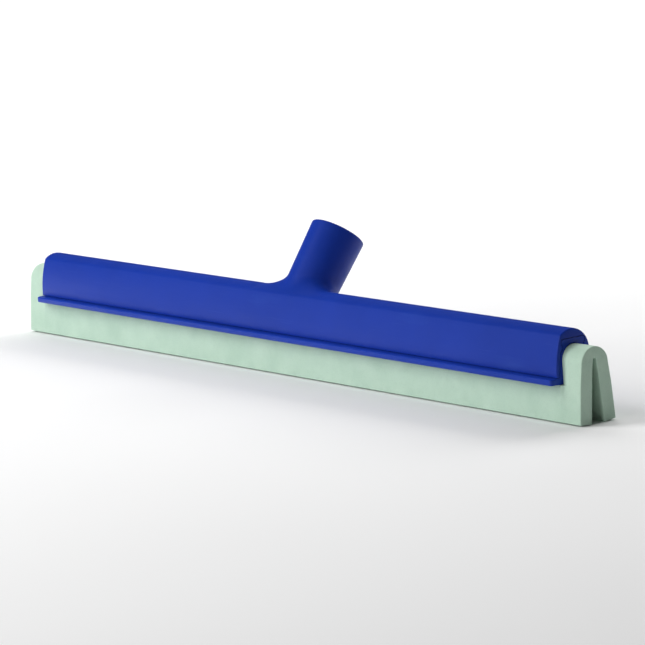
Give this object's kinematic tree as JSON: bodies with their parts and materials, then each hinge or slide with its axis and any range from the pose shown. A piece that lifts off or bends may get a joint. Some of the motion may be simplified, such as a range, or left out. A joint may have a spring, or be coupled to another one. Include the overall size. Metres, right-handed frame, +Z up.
{
  "type": "floor squeegee head",
  "caption": "Long moulded squeegee head with a tilted handle socket and a slide-in cassette that grips a folded foam blade.",
  "frame": {"origin": "on the floor, under the middle of the object's bounding box", "axes": "+X along the blade, +Y towards the side the socket leans to, +Z up"},
  "size_m": [0.605, 0.0752, 0.0995],
  "materials": {
    "head_plastic": "satin moulded polypropylene",
    "rail_plastic": "satin moulded polypropylene",
    "foam": "matt closed-cell foam rubber",
    "core_plastic": "plain extruded strip"
  },
  "bodies": {
    "head": {"head": "head_plastic"},
    "cassette": {"cassette_rail": "rail_plastic", "foam_blade": "foam", "core_strip": "core_plastic"}
  },
  "joints": [
    {"name": "cassette_slide", "type": "slide", "parent": "head", "child": "cassette", "axis": [1, 0, 0], "range_m": [-0.59, 0.59]}
  ]
}
